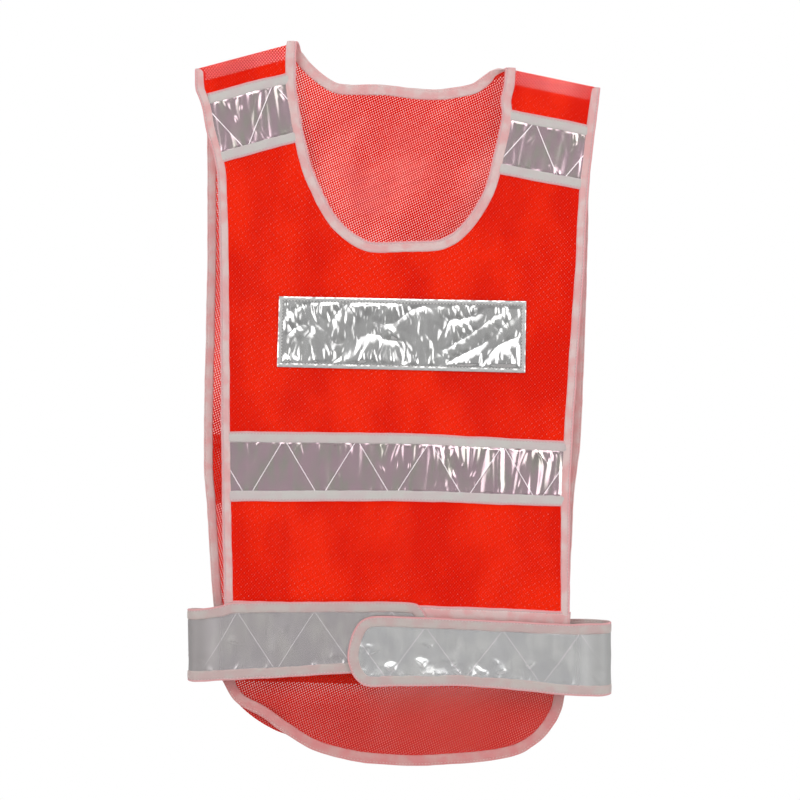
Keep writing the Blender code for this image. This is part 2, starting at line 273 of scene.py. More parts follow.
def make_object(name, vertices, faces, corner_uv, material):
    mesh = bpy.data.meshes.new(name)
    mesh.from_pydata(np.array(vertices, float) * MM, [], faces)
    layer = mesh.uv_layers.new(name=UV_NAME)
    layer.data.foreach_set("uv", np.array(corner_uv, float).ravel() * MM)
    mesh.shade_smooth()
    mesh.materials.append(material)
    return add_object(name, mesh)


def grid_object(name, points, uv, material, flip=False):
    """A sheet from a grid of points with its flat coordinates."""
    rows, columns = points.shape[:2]
    index = np.arange(rows * columns).reshape(rows, columns)
    quads = np.stack([index[:-1, :-1], index[:-1, 1:], index[1:, 1:], index[1:, :-1]], -1)
    quads = quads.reshape(-1, 4)
    if flip:
        quads = quads[:, ::-1]
    flat = uv.reshape(-1, 2)
    return make_object(name, points.reshape(-1, 3), quads.tolist(), flat[quads.ravel()], material)


def inside(outline, points):
    """Which points are inside a closed outline, and how far each is from it."""
    within = np.zeros(len(points), bool)
    nearest = np.full(len(points), 1e9)
    for start, end in zip(outline, np.roll(outline, -1, 0)):
        side = end - start
        gap = points - start
        share = np.clip(gap @ side / max(side @ side, 1e-9), 0, 1)
        nearest = np.minimum(nearest, np.linalg.norm(gap - share[:, None] * side, axis=1))
        if start[1] != end[1]:
            spans = (start[1] > points[:, 1]) != (end[1] > points[:, 1])
            reach = start[0] + side[0] * (points[:, 1] - start[1]) / side[1]
            within ^= spans & (points[:, 0] < reach)
    return within, nearest


def filled_object(name, outline, step, place, material, flip=False):
    """A sheet of triangles inside a flat outline; place turns flat points into points in space."""
    low, high = outline.min(0), outline.max(0)
    row_step = step * TRIANGLE_ROW
    grid = []
    for i, z in enumerate(np.arange(low[1] + row_step / 2, high[1], row_step)):
        grid += [(x, z) for x in np.arange(low[0] + (i % 2) * step / 2, high[0], step)]
    grid = np.array(grid)
    within, nearest = inside(outline, grid)
    flat = np.vstack([outline, grid[within & (nearest > step * RIM_GAP)]])
    count = len(outline)
    rim = [(i, (i + 1) % count) for i in range(count)]
    found = geometry.delaunay_2d_cdt([Vector(p) for p in flat], rim, [], 1, 1e-4)
    flat = np.array([tuple(p) for p in found[0]])
    faces = [list(face) for face in found[2]]
    if flip:
        faces = [face[::-1] for face in faces]
    corners = [corner for face in faces for corner in face]
    return make_object(name, place(flat), faces, flat[corners], material)


# Edge tape: a folded knitted tape with a line of stitches, swept along a path

SECTION_ACROSS = np.array((-1, -0.95, -0.82, -0.7, -0.6, -0.5, -0.3, 0, 0.35, 0.7, 0.92, 1))
STITCH_ACROSS = -0.6
GROOVE = 0.32
STITCH_STEP = 3.0
# Half length, half width and height of a stitch's bead
STITCH = (1.05, 0.28, 0.26)


def path_frames(points, normals, closed):
    """Direction, sideways direction and true normal at each point of a path."""
    ahead, behind = np.roll(points, -1, 0), np.roll(points, 1, 0)
    if not closed:
        ahead[-1], behind[0] = points[-1], points[0]
    tangents = unit(ahead - behind)
    sides = unit(np.cross(tangents, normals))
    return tangents, sides, unit(np.cross(sides, tangents))


def beside(points, normals, reach, closed):
    """A path moved sideways on its surface."""
    return points + path_frames(points, normals, closed)[1] * reach


def section():
    """The tape's outline: its place across, from -1 to 1, and its half thickness there."""
    thick = (1 - np.abs(SECTION_ACROSS) ** 6) ** 0.5
    thick -= GROOVE * np.exp(-((SECTION_ACROSS - STITCH_ACROSS) / 0.09) ** 2)
    thick[0] = thick[-1] = 0
    across = np.r_[SECTION_ACROSS, SECTION_ACROSS[-2:0:-1]]
    return across, np.r_[thick, -thick[-2:0:-1]]


def tape(name, kind, points, normals, width=TAPE_W, half=TAPE_HALF, closed=False, seed=0):
    """A tape along the middle line given, and a second piece for its stitches."""
    tangents, sides, normals = path_frames(points, normals, closed)
    along = distances(points)
    total = along[-1]
    if closed:
        total += np.linalg.norm(points[0] - points[-1])
    sway = np.array([noise.noise(Vector((d / 26, seed, 0.5))) for d in along])
    swell = np.array([noise.noise(Vector((d / 9, seed, 7.5))) for d in along])
    if closed:
        fade = smoothstep(0, 30, along) * smoothstep(0, 30, total - along)
        sway, swell = sway * fade, swell * fade
    middle = points + sides * sway[:, None] * 0.45
    across, thick = section()
    wide = width / 2 * (1 + 0.05 * swell)
    deep = half * (1 + 0.16 * swell)
    rings = (middle[:, None] + sides[:, None] * (wide[:, None] * across)[..., None]
             + normals[:, None] * (deep[:, None] * thick)[..., None])
    count, turns = rings.shape[:2]
    last = count if closed else count - 1
    faces, uv = [], []
    lengths = np.r_[along, total]
    around = np.cumsum(np.r_[0, np.abs(np.diff(np.r_[across, across[0]]))]) * width / 2
    for i in range(last):
        j = (i + 1) % count
        for k in range(turns):
            n = (k + 1) % turns
            faces.append((i * turns + k, j * turns + k, j * turns + n, i * turns + n))
            uv += [(lengths[i], around[k]), (lengths[i + 1], around[k]),
                   (lengths[i + 1], around[k + 1]), (lengths[i], around[k + 1])]
    if not closed:
        for i, ring in ((0, range(turns)), (count - 1, range(turns - 1, -1, -1))):
            faces.append(tuple(i * turns + k for k in ring))
            uv += [(lengths[i], around[k]) for k in ring]
    made = make_object(name, rings.reshape(-1, 3), faces, uv, binding_material(kind))
    seam = middle + sides * (wide * STITCH_ACROSS)[:, None]
    lift = deep * (1 - GROOVE)
    stitches = stitch_row(f"{name}_stitches", seam, tangents, sides, normals, lift, along, seed)
    return made, stitches


def stitch_row(name, seam, tangents, sides, normals, lift, along, seed):
    """Thread on both faces of a tape: one small pointed bead for each stitch."""
    dice = random.Random(f"{name}{seed}")
    vertices, faces, uv = [], [], []
    length, width, height = STITCH
    corners = ((-1, 0, 0), (0, -1, 0), (0, 0, 1), (0, 1, 0), (0, 0, -1), (1, 0, 0))
    sheets = ((0, 2, 1), (0, 3, 2), (0, 4, 3), (0, 1, 4), (5, 1, 2), (5, 2, 3), (5, 3, 4), (5, 4, 1))
    for face in (1, -1):
        for place in np.arange(STITCH_STEP, along[-1] - STITCH_STEP, STITCH_STEP):
            i = min(int(np.searchsorted(along, place)), len(along) - 1)
            t = (place - along[i - 1]) / max(along[i] - along[i - 1], 1e-6)
            centre = seam[i - 1] * (1 - t) + seam[i] * t + normals[i] * lift[i] * face
            lean = dice.uniform(-0.12, 0.12)
            first = len(vertices)
            for a, b, c in corners:
                vertices.append(centre + tangents[i] * (a * length) + normals[i] * c * height
                                + sides[i] * (b * width + a * length * lean))
            for sheet in sheets:
                faces.append([first + k for k in sheet])
                uv += [(place, k) for k in sheet]
    return make_object(name, vertices, faces, uv, thread_material())


def settle(piece, where, nodes=()):
    """Parents a piece to the body that it moves with, or only bakes its transform when it is given a
    blend, and hides the parts of the CAD that it stands for.
    """
    if isinstance(where, str):
        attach(piece, where)
    else:
        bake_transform(piece)
    if nodes:
        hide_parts(*nodes)


def settle_tape(pieces, where, nodes):
    """The same for a tape and its stitches."""
    settle(pieces[0], where, nodes)
    settle(pieces[1], where)


# Node graphs

def new_material(name, colour, roughness, metallic=0.0):
    found = bpy.data.materials.new(name)
    found.use_nodes = True
    tree = found.node_tree
    shader = tree.nodes["Principled BSDF"]
    dress(tree, shader,
          {"Base Color": (*colour, 1), "Roughness": roughness, "Metallic": metallic})
    return found, tree, shader


def put(tree, socket, value):
    if isinstance(value, bpy.types.NodeSocket):
        tree.links.new(value, socket)
    else:
        socket.default_value = value


def dress(tree, shader, inputs):
    """Sets or links the shader's inputs named."""
    for name, value in inputs.items():
        put(tree, shader.inputs[name], value)


def math_node(tree, operation, *values):
    node = tree.nodes.new("ShaderNodeMath")
    node.operation = operation
    for socket, value in zip(node.inputs, values):
        put(tree, socket, value)
    return node.outputs[0]


def vector_node(tree, operation, *values):
    node = tree.nodes.new("ShaderNodeVectorMath")
    node.operation = operation
    for socket, value in zip(node.inputs, values):
        put(tree, socket, value)
    return node.outputs["Value" if operation in ("LENGTH", "DOT_PRODUCT") else "Vector"]


def range_node(tree, value, low, high, to_low=0.0, to_high=1.0):
    node = tree.nodes.new("ShaderNodeMapRange")
    node.interpolation_type = "SMOOTHSTEP"
    for socket, item in zip(node.inputs, (value, low, high, to_low, to_high)):
        put(tree, socket, item)
    return node.outputs[0]


def mix_colour(tree, share, a, b):
    node = tree.nodes.new("ShaderNodeMix")
    node.data_type = "RGBA"
    put(tree, node.inputs[0], share)
    put(tree, node.inputs[6], (*a, 1) if isinstance(a, tuple) else a)
    put(tree, node.inputs[7], (*b, 1) if isinstance(b, tuple) else b)
    return node.outputs[2]


def mix_value(tree, share, a, b):
    node = tree.nodes.new("ShaderNodeMix")
    node.data_type = "FLOAT"
    for place, value in ((0, share), (2, a), (3, b)):
        put(tree, node.inputs[place], value)
    return node.outputs[0]


def split(tree, vector):
    """A vector's X, Y and Z."""
    node = tree.nodes.new("ShaderNodeSeparateXYZ")
    tree.links.new(vector, node.inputs[0])
    return node.outputs


def flat_uv(tree):
    """A sheet's flat coordinates in millimetres."""
    node = tree.nodes.new("ShaderNodeUVMap")
    node.uv_map = UV_NAME
    return vector_node(tree, "MULTIPLY", node.outputs[0], (1 / MM, 1 / MM, 1 / MM))


def noise_node(tree, vector, scale, detail=2.0, stretch=(1, 1, 1)):
    node = tree.nodes.new("ShaderNodeTexNoise")
    node.inputs["Scale"].default_value = scale
    node.inputs["Detail"].default_value = detail
    put(tree, node.inputs["Vector"], vector_node(tree, "MULTIPLY", vector, stretch))
    return node.outputs[0]


def add_bump(tree, shader, height, distance):
    node = tree.nodes.new("ShaderNodeBump")
    node.inputs["Distance"].default_value = distance * MM
    put(tree, node.inputs["Height"], height)
    tree.links.new(node.outputs[0], shader.inputs["Normal"])


def hole_distance(tree, flat, pitch, shift):
    """Distance, in shares of the pitch, to the nearest hole of one row set of the knit."""
    moved = vector_node(tree, "ADD", flat, shift)
    cell = vector_node(tree, "FRACTION", vector_node(tree, "DIVIDE", moved, pitch))
    return vector_node(tree, "LENGTH", vector_node(tree, "SUBTRACT", cell, (0.5, 0.5, 0)))


KNIT_PITCH = (2.75, 3.3, 1)
# Heights between which the tail darkens with painted shade, under the belt
TAIL_SHADE = (-615, -540)
# For each sheet of the knit: its turn in degrees, the size of its holes and how closed they are
KNITS = {"front": (0.0, 0.155, 0.78), "back": (24.0, 0.172, 0.25), "yoke": (0.0, 0.168, 0.10)}


def cached(make):
    """Each material is made once."""
    made = {}

    def wrapper(*values):
        if values not in made:
            made[values] = make(*values)
        return made[values]

    return wrapper


@cached
def mesh_material(kind):
    """Open fluorescent knit: staggered holes between raised yarn loops, laid at a slight turn."""
    turn, size, closed = KNITS[kind]
    found, tree, shader = new_material(f"{kind}_knit", (0.92, 0.02, 0.006), 0.7)
    unturned = flat_uv(tree)
    laid = tree.nodes.new("ShaderNodeVectorRotate")
    laid.rotation_type = "Z_AXIS"
    laid.inputs["Angle"].default_value = math.radians(turn)
    tree.links.new(unturned, laid.inputs["Vector"])
    flat = vector_node(tree, "MULTIPLY", laid.outputs[0], (1, 1, 0))
    wobble = noise_node(tree, flat, 0.9, 1.0)
    flat = vector_node(tree, "ADD", flat, vector_node(tree, "MULTIPLY", wobble, (0.35, 0.35, 0)))
    first = hole_distance(tree, flat, KNIT_PITCH, (0, 0, 0))
    second = hole_distance(tree, flat, KNIT_PITCH, (KNIT_PITCH[0] / 2, KNIT_PITCH[1] / 2, 0))
    nearest = math_node(tree, "MINIMUM", first, second)
    # Broad darker patches of painted shade over the knit, with its holes a little smaller in them.
    shade_patches = range_node(tree, noise_node(tree, flat, 0.016, 4.0, (1, 0.55, 1)), 0.36, 0.62)
    # Painted shade of the tail under the belt: lower down, the knit is darkened and its holes closed.
    tail = range_node(tree, split(tree, unturned)["Y"], *TAIL_SHADE, 1.0, 0.0)
    hole = math_node(tree, "MULTIPLY_ADD", shade_patches, -0.035, size + 0.015)
    shut = math_node(tree, "MAXIMUM", closed, math_node(tree, "MULTIPLY", tail, 0.8))
    alpha = range_node(tree, nearest, math_node(tree, "ADD", hole, -0.03),
                       math_node(tree, "ADD", hole, 0.03), shut, 1.0)
    colour = mix_colour(tree, shade_patches, (0.96, 0.015, 0.001), (0.74, 0.002, 0.0005))
    # Painted light through the holes: the knit is paler and more orange round each hole.
    rim = range_node(tree, nearest, size, size + 0.16, 0.7, 0.0)
    colour = mix_colour(tree, rim, colour, (0.96, 0.045, 0.008))
    # Painted shade: the centres of the partly closed holes are darkened.
    hole_shade = range_node(tree, nearest, size - 0.06, size + 0.02, 0.6 * closed, 0.0)
    colour = mix_colour(tree, hole_shade, colour, (0.55, 0.002, 0.0005))
    # Colour of the tail's painted shade, paler at the hole rims with painted light through the holes.
    shade = mix_colour(tree, rim, (0.52, 0.011, 0.010), (0.62, 0.07, 0.045))
    colour = mix_colour(tree, math_node(tree, "MULTIPLY", tail, 0.92), colour, shade)
    # The emission is a painted glow in the knit's own colour, standing in for its fluorescence.
    dress(tree, shader,
          {"Base Color": colour, "Alpha": alpha, "Emission Color": colour,
           "Emission Strength": 0.10, "Specular IOR Level": 0.05})
    yarn = noise_node(tree, flat, 2.4, 2.0, (1, 0.4, 1))
    height = math_node(tree, "ADD", range_node(tree, nearest, size, 0.5), yarn)
    add_bump(tree, shader, height, 0.35)
    return found


# For each use of the tape: its own colour, and its colour where the cloth under it shows through
TAPES = {
    "rim": ((0.83, 0.62, 0.60), (0.85, 0.43, 0.43)),
    "tail": ((0.70, 0.36, 0.345), (0.72, 0.25, 0.25)),
    # The tail's tape is the rim's tape, darkened with painted shade under the belt.
    "band": ((0.66, 0.63, 0.60), (0.67, 0.57, 0.57)),
    "belt": ((0.60, 0.53, 0.50), (0.61, 0.44, 0.43)),
}


@cached
def binding_material(kind):
    """Off-white knitted tape with fine ribs along it and a faint blush of the cloth under it."""
    own, blushed = TAPES[kind]
    found, tree, shader = new_material(f"{kind}_tape", own, 0.8)
    flat = flat_uv(tree)
    blush = range_node(tree, noise_node(tree, flat, 0.06, 3.0), 0.36, 0.62)
    colour = mix_colour(tree, blush, own, blushed)
    speck = range_node(tree, noise_node(tree, flat, 0.8, 3.0, (1, 2.2, 1)), 0.3, 0.7, 0.0, 0.35)
    colour = mix_colour(tree, speck, colour, tuple(0.82 * c for c in own))
    parts = split(tree, flat)
    rim = range_node(tree, parts["Y"], 0.8, 3.2, 0.7, 0.0)
    colour = mix_colour(tree, rim, colour, (0.84, 0.36, 0.38))
    # Painted shade along the stitch groove: the tape is darker on its seam line.
    seam = math_node(tree, "ABSOLUTE", math_node(tree, "SUBTRACT", parts["Y"],
                                                 (1 + STITCH_ACROSS) * TAPE_W / 2))
    colour = mix_colour(tree, range_node(tree, seam, 0.2, 0.7, 0.4, 0.0), colour,
                        (0.48, 0.42, 0.42))
    dress(tree, shader, {"Base Color": colour, "Sheen Weight": 0.1})
    ribs = math_node(tree, "SINE", math_node(tree, "MULTIPLY", parts["Y"], 7.4))
    loops = math_node(tree, "SINE", math_node(tree, "MULTIPLY", parts["X"], 6.3))
    height = math_node(tree, "ADD", ribs, math_node(tree, "MULTIPLY", loops, 0.6))
    add_bump(tree, shader, height, 0.07)
    return found


@cached
def thread_material():
    found, tree, shader = new_material("sewing_thread", (0.8, 0.77, 0.74), 0.55)
    twist = noise_node(tree, flat_uv(tree), 1.7, 2.0)
    colour = mix_colour(tree, twist, (0.86, 0.84, 0.81), (0.66, 0.62, 0.60))
    dress(tree, shader, {"Base Color": colour})
    add_bump(tree, shader, twist, 0.05)
    return found


# A film's zigzag weld is given by the place of a peak, the period and its sideways run per height
WELD_START = 0.7


def weld_mask(tree, flat, weld):
    """Zigzag welds through a film: 1 on the line, 0 beside it."""
    peak, period, rise = weld
    parts = split(tree, flat)
    wave = math_node(tree, "PINGPONG", math_node(tree, "SUBTRACT", parts["X"], peak), period / 2)
    line = math_node(tree, "MULTIPLY_ADD", parts["Y"], rise, WELD_START)
    gap = math_node(tree, "ABSOLUTE", math_node(tree, "SUBTRACT", wave, line))
    return range_node(tree, gap, 0.2, 0.75, 1.0, 0.0)


# For each use of the film: its colour, its streaks, its clouds and its roughness
FILMS = {
    "band": ((0.40, 0.29, 0.325), (0.35, 0.325, 0.29), (0.45, 0.31, 0.36), 0.15),
    "chest": ((0.44, 0.44, 0.43), (0.50, 0.50, 0.495), (0.38, 0.375, 0.375), 0.12),
    "under": ((0.43, 0.40, 0.40), (0.47, 0.445, 0.435), (0.39, 0.36, 0.375), 0.25),
    "over": ((0.54, 0.54, 0.535), (0.60, 0.60, 0.59), (0.48, 0.48, 0.49), 0.22),
}
FILM_METAL = 0.75
# Distances from a fold between which its dulled band, darkened with painted shade, ends
FOLD_DULL_SHADE = (12, 34)


@cached
def film_material(kind, weld, fold=None, size=None):
    """Glossy vinyl over a metallised backing, with welds, a fold made dull and darkened with painted
    shade, or a sealed rim.
    """
    first, second, third, roughness = FILMS[kind]
    found, tree, shader = new_material(f"{kind}_film", first, roughness, FILM_METAL)
    flat = flat_uv(tree)
    streak = range_node(tree, noise_node(tree, flat, 0.13, 3.0, (1, 0.22, 1)), 0.35, 0.65)
    cloud = range_node(tree, noise_node(tree, flat, 0.045, 3.0, (1, 0.7, 1)), 0.35, 0.65)
    colour = mix_colour(tree, streak, first, second)
    colour = mix_colour(tree, math_node(tree, "MULTIPLY", cloud, 0.7), colour, third)
    if size:
        centre = (size[0] / 2, size[1] / 2, 0)
        away = vector_node(tree, "ABSOLUTE", vector_node(tree, "SUBTRACT", flat, centre))
        parts = split(tree, vector_node(tree, "SUBTRACT", centre, away))
        near = math_node(tree, "MINIMUM", parts["X"], parts["Y"])
        sealed = range_node(tree, near, SEAM_INSET - 1, SEAM_INSET, 0.85, 0.0)
        colour = mix_colour(tree, sealed, colour, (0.74, 0.74, 0.73))
    inputs = {"Coat Weight": 1.0, "Coat Roughness": 0.04}
    if weld:
        mask = weld_mask(tree, flat, weld)
        colour = mix_colour(tree, math_node(tree, "MULTIPLY", mask, 0.6), colour,
                            (0.78, 0.72, 0.75))
        inputs["Roughness"] = range_node(tree, mask, 0, 1, roughness, 0.5)
    if fold:
        away = math_node(tree, "SUBTRACT", split(tree, flat)["X"], fold)
        # Near the fold the film is made rough and dull, and its colour is darkened with painted shade.
        fold_dulled_shade = range_node(tree, math_node(tree, "ABSOLUTE", away), *FOLD_DULL_SHADE, 1.0, 0.0)
        inputs["Roughness"] = math_node(tree, "MULTIPLY_ADD", fold_dulled_shade, 0.35, roughness)
        inputs["Coat Weight"] = math_node(tree, "SUBTRACT", 1.0, fold_dulled_shade)
        inputs["Metallic"] = math_node(tree, "MULTIPLY_ADD", fold_dulled_shade, -0.65, FILM_METAL)
        colour = mix_colour(tree, fold_dulled_shade, colour, tuple(0.7 * c for c in first))
    dress(tree, shader, {"Base Color": colour, **inputs})
    grain = noise_node(tree, flat, 0.7, 3.0, (1, 0.6, 1))
    add_bump(tree, shader, grain, 0.05)
    return found


@cached
def pad_material():
    """Fuzzy loops or stiff hooks of the belt's closure."""
    found, tree, shader = new_material("closure_pad", (0.72, 0.71, 0.68), 0.95)
    fuzz = noise_node(tree, flat_uv(tree), 2.6, 4.0)
    colour = mix_colour(tree, fuzz, (0.80, 0.79, 0.76), (0.55, 0.54, 0.51))
    dress(tree, shader, {"Base Color": colour, "Sheen Weight": 0.6})
    add_bump(tree, shader, fuzz, 0.5)
    return found


# Relief of the films, in millimetres of height over their flat coordinates

def crease(u, v, start, heading, length, width, height):
    """A ridge that starts at a point, runs along a heading and dies out."""
    du, dv = math.cos(heading), math.sin(heading)
    along = (u - start[0]) * du + (v - start[1]) * dv
    across = -(u - start[0]) * dv + (v - start[1]) * du
    share = np.clip(along / length, 0, 1)
    shown = smoothstep(-1.5, 0.5, along) * (1 - share) ** 1.4
    return height * shown * np.exp(-(across / (width * (1 - 0.45 * share))) ** 2)


def from_middle(u, v, centre, radius, turn, long=0.8):
    """How far out each place is in a turned rectangle: 0 at its middle and 1 at its rim."""
    c, s = math.cos(turn), math.sin(turn)
    a = np.abs((u - centre[0]) * c + (v - centre[1]) * s) / radius
    b = np.abs((v - centre[1]) * c - (u - centre[0]) * s) / (radius * long)
    return np.maximum(a, b)


def tent(u, v, centre, radius, height, turn, long=0.8):
    """A small pyramid with four flat facets, softened at its rim."""
    return height * np.clip(1 - from_middle(u, v, centre, radius, turn, long), 0, 1) ** 1.1


def facet(u, v, centre, radius, tilt, turn):
    """A flat patch of film that leans upwards, with a soft rim."""
    shown = smoothstep(1.1, 0.5, from_middle(u, v, centre, radius, turn))
    return tilt * (v - centre[1] + radius * 0.5) * shown


def comb(relief, u, v, dice, places, edge, gap, lean, long, wide, high, strength=None):
    """Adds a row of creases that start on one edge, each drawn from the ranges given."""
    place, end = places
    while place < end:
        scale = strength(place) if strength else 1
        if scale > 0:
            relief += crease(u, v, (place, edge), math.radians(dice.uniform(*lean)),
                             dice.uniform(*long), dice.uniform(*wide), scale * dice.uniform(*high))
        place += dice.uniform(*gap)


def field(u, v, scale, seed, stretch=1.0, turn=0.0):
    """Noise over a whole grid, between -1 and 1, stretched along its own v and turned."""
    c, s = math.cos(turn), math.sin(turn)
    a = (u * c + v * s) / scale
    b = (-u * s + v * c) / (scale * stretch)
    values = [noise.noise(Vector((p, q, seed))) for p, q in zip(a.ravel(), b.ravel())]
    return np.array(values).reshape(u.shape)


def weld_ridge(u, v, weld):
    peak, period, rise = weld
    wave = np.abs((u - peak + period / 2) % period - period / 2)
    return 0.12 * np.exp(-((wave - WELD_START - v * rise) / 0.8) ** 2)


def band_relief(u, v, length, height, weld, dice, strengths):
    """Puckers from both seams, fine upright ripples, a few dents, and the welds."""
    def strength(place):
        return np.interp(place, (0, length), strengths)

    def tall_strength(place):
        return min((strength(place) - 0.75) * 3, 1.9)

    relief = weld_ridge(u, v, weld)
    relief += 1.25 * strength(u) * field(u, v, 9, dice.random() * 50, 6)
    comb(relief, u, v, dice, (2.0, length), -1, (5, 14), (65, 115), (8, 34), (1.1, 2.8),
         (0.3, 1.0), strength)
    comb(relief, u, v, dice, (6.0, length), -2, (9, 19), (70, 112), (45, 80), (2.6, 4.2),
         (0.7, 1.3), tall_strength)
    comb(relief, u, v, dice, (4.0, length), height + 1, (9, 24), (-125, -55), (6, 22), (1.0, 2.2),
         (0.3, 0.8), strength)
    for _ in range(int(length / 12)):
        spot = dice.uniform(0, length)
        relief += tent(u, v, (spot, dice.uniform(0, height)), dice.uniform(1.0, 3.2),
                       strength(spot) * dice.uniform(0.2, 0.8), dice.uniform(-0.5, 0.5),
                       dice.uniform(2.0, 5.0))
    for _ in range(int(length / 14)):
        relief += tent(u, v, (dice.uniform(0, length), 3.6), dice.uniform(1.2, 2.2),
                       dice.uniform(0.4, 0.9), 0)
    return relief


def chest_relief(u, v, length, height, dice):
    """A tightly crumpled film: combs of puckers from the long seams and slanting folds between."""
    bend = 8 * field(u, v, 24, 3.1)
    relief = 4.0 * np.abs(field(u + bend, v - bend, 21, 5.3, 1.9, math.radians(56))) - 1.1
    relief += 1.2 * np.abs(field(u + bend, v, 8, 8.9, 3.2, math.radians(-20)))
    relief += 0.3 * field(u, v + bend, 3.2, 1.7, 5.0, math.radians(10))
    for edge, lean in ((-1, (68, 112)), (height + 1, (-112, -68))):
        comb(relief, u, v, dice, (1.0, length), edge, (2.2, 6.5), lean, (8, 34), (0.9, 1.9),
             (0.3, 1.1))
    rim = np.minimum(np.minimum(u, length - u), np.minimum(v, height - v))
    relief = np.clip(relief, -1.2, 2.4) * smoothstep(SEAM_INSET, SEAM_INSET + 4.5, rim)
    hem = smoothstep(0, 1.5, rim) * smoothstep(SEAM_INSET, SEAM_INSET - 1.2, rim)
    return relief + hem * (0.25 + 0.3 * field(u, v, 2.6, 6.1))


def belt_relief(u, v, weld, dice, length, low, high, crushed=(0, 0)):
    """Soft dents, more of them between two crushed places, and puckers at the lower tape."""
    relief = weld_ridge(u, v, weld) * 0.8
    relief += 0.9 * field(u, v, 30, dice.random() * 50, 1.2)
    relief += 0.35 * field(u, v, 9, dice.random() * 50, 1.5)
    for _ in range(int(length / 14)):
        relief += facet(u, v, (dice.uniform(0, length), dice.uniform(low, high)),
                        dice.uniform(3, 8), dice.uniform(-0.06, 0.1), dice.uniform(0, 3))
    for _ in range(int((crushed[1] - crushed[0]) / 7)):
        place = dice.uniform(*crushed)
        drop = smoothstep(crushed[1], crushed[1] - 40, place) * 0.55
        relief += facet(u, v, (place, high * dice.uniform(drop + 0.05, 0.95)),
                        dice.uniform(3, 7.5), dice.uniform(0.06, 0.19), dice.uniform(0, 3))
    for _ in range(int(length / 12)):
        relief += crease(u, v, (dice.uniform(0, length), high + 1),
                         math.radians(dice.uniform(-130, -50)), dice.uniform(6, 16),
                         dice.uniform(1.2, 2.4), dice.uniform(0.3, 0.8))
    return relief


# Sheets on the panels

def film_grid(top, bottom, margin):
    """A grid between two edges, kept clear of both by a margin, with its flat coordinates."""
    top, bottom = smooth(top), smooth(bottom)
    length = distances(top)[-1]
    columns = int(length / FILM_STEP) + 1
    upper, lower = resample(top, columns), resample(bottom, columns)
    gap = np.linalg.norm(lower - upper, axis=1)
    height = gap.mean() - 2 * margin
    rows = int(height / FILM_STEP) + 1
    share = (margin / gap)[None] + np.linspace(0, 1, rows)[:, None] * (1 - 2 * margin / gap)[None]
    flat = upper[None] * (1 - share)[..., None] + lower[None] * share[..., None]
    u, v = np.meshgrid(np.linspace(0, length, columns), np.linspace(0, height, rows))
    return flat, u, v, length, height


def film_piece(name, edges, side, kind, weld, relief, margin, lift, where, node):
    """A vinyl film that lies on a panel. Without a margin it has no tapes, and a rim of its own."""
    flat, u, v, length, height = film_grid(*edges, margin)
    edge = np.minimum(np.minimum(u, length - u), np.minimum(v, height - v))
    ends = smoothstep(2, 7, np.minimum(u, length - u)) if margin else 1
    shape = relief(u, v, length, height) * (smoothstep(0.5, 4.5, edge) if margin else 1)
    rise = lift + np.maximum(shape, FILM_LOWEST - lift) * ends
    ground = np.array([depth(x, z, side) for x, z in flat.reshape(-1, 2)]).reshape(u.shape)
    points = np.stack([flat[..., 0], ground + side * rise, flat[..., 1]], -1)
    rim = None if margin else (length, height)
    made = grid_object(name, points, np.stack([u, v], -1), film_material(kind, weld, None, rim),
                       side < 0)
    settle(made, where, [node])


def band_tape(name, edge, offset, side, seed):
    """One of a band's two tapes, tucked at its ends under the tapes that it meets."""
    path = even(smooth(edge), 3)
    along = distances(path)
    tuck = smoothstep(0, 12, along) * smoothstep(0, 12, along[-1] - along)
    across = unit(np.gradient(path, axis=0))
    path = path + np.column_stack([across[:, 1], -across[:, 0]]) * offset
    points = np.array([(x, depth(x, z, side) + side * BAND_TAPE_LIFT[side] * t, z)
                       for (x, z), t in zip(path, 0.92 + 0.08 * tuck)])
    normals = vest_normals(points)
    if offset * side > 0:
        points, normals = points[::-1], normals[::-1]
    return tape(name, "band", points, normals, TAPE_W, BAND_TAPE_HALF, seed=seed)


def band(name, edges, side, weld, seed, strengths):
    """A reflective band: film, and a tape along its upper and its lower edge."""
    body = "front" if side < 0 else "back"
    dice = random.Random(seed)
    film_piece(f"{name}_vinyl", edges, side, "band", weld,
               lambda u, v, long, high: band_relief(u, v, long, high, weld, dice, strengths),
               FILM_MARGIN, FILM_LIFT, body, f"{name}_film")
    for place, edge, offset in (("upper", edges[0], TAPE_W / 2), ("lower", edges[1], -TAPE_W / 2)):
        pieces = band_tape(f"{name}_{place}_tape", edge, offset, side, seed + len(place) + offset)
        settle_tape(pieces, body, [f"{name}_{place}_binding"])


def chest_patch():
    dice = random.Random(41)
    film_piece("chest_patch_vinyl", CHEST, -1, "chest", None,
               lambda u, v, long, high: chest_relief(u, v, long, high, dice),
               0, CHEST_LIFT, "front", "chest_patch")


def panel_outline(edges):
    """Joins a panel's edges into one outline, and draws each in by its own depth."""
    outline, depths = [], []
    for points, reach in edges:
        outline += list(points[:-1])
        depths += [reach] * (len(points) - 1)
    return inset(np.array(outline, float), depths)


def cut(x0, x1):
    """Where a panel meets the cloth over a shoulder."""
    return even([(x, fold_top(x) - FOLD_RISE) for x in (x0, x1)], 6)


LEVELS = ("front", "top", "back")
# Where each yoke starts and ends on the front panel, on the fold's top and on the back panel
LEFT_CUTS = {"front": (-190.3, -96.4), "top": (-191, -95), "back": (-189.5, -88.5)}
RIGHT_CUTS = {"front": (96.6, 184.9), "top": (98, 186.5), "back": (74.5, 185)}
SHOULDER_BLEND = ("back", "front", (0, 5 * MM, 0), (0, -5 * MM, 0))
# Slopes of the yokes' flat coordinates over the fold, so that their holes meet the panels' holes
YOKE_SHEAR = (0.05, 0.12)


